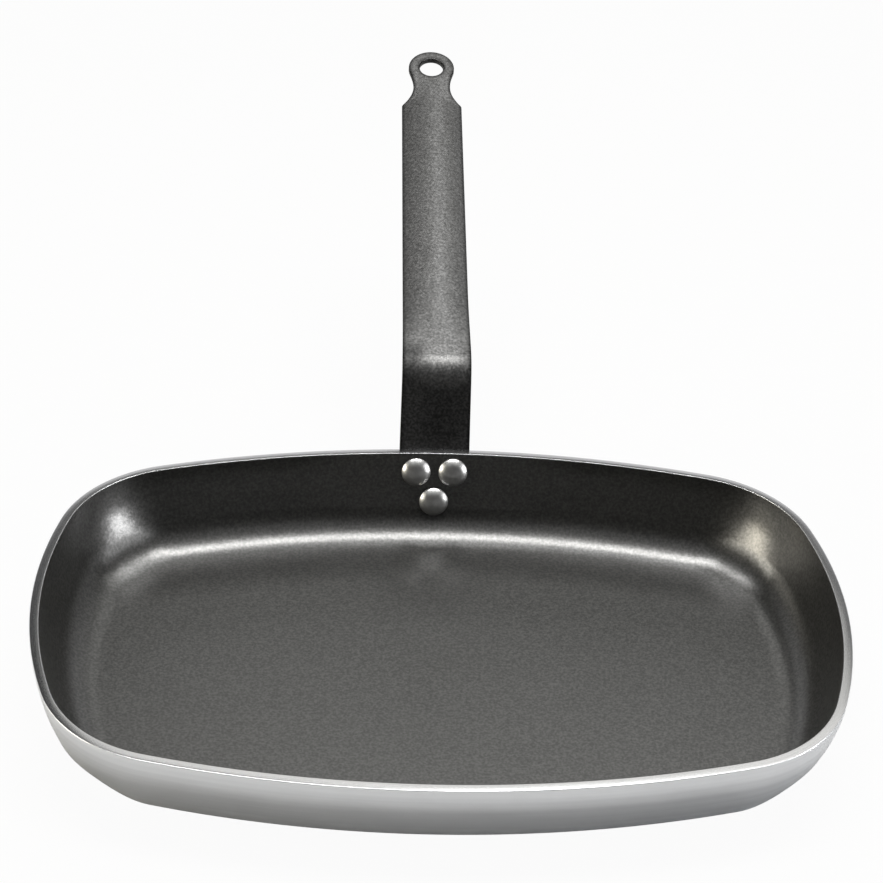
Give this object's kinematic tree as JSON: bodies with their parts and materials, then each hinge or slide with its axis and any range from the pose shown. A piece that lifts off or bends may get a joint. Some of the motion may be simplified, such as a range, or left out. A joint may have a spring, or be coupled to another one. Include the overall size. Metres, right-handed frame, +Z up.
{
  "type": "fish pan",
  "caption": "Shallow oblong frying pan with bulged sides, rounded corners, a non-stick inside and a riveted strip handle with a hanging eye.",
  "frame": {"origin": "middle of the base's underside, on the surface that the pan stands on", "axes": "+X along the pan's long sides, +Y towards the handle, +Z up"},
  "size_m": [0.3798, 0.4878, 0.1467],
  "materials": {
    "pan_metal": "fine brushed, bare",
    "lining": "satin non-stick, fine grain",
    "handle_finish": "black baked powder, fine grain",
    "rivet_metal": "polished"
  },
  "bodies": {
    "root": {"pan_body": "pan_metal", "nonstick_coating": "lining", "handle": "handle_finish", "rivet_left": "rivet_metal", "rivet_right": "rivet_metal", "rivet_lower": "rivet_metal"}
  },
  "joints": []
}
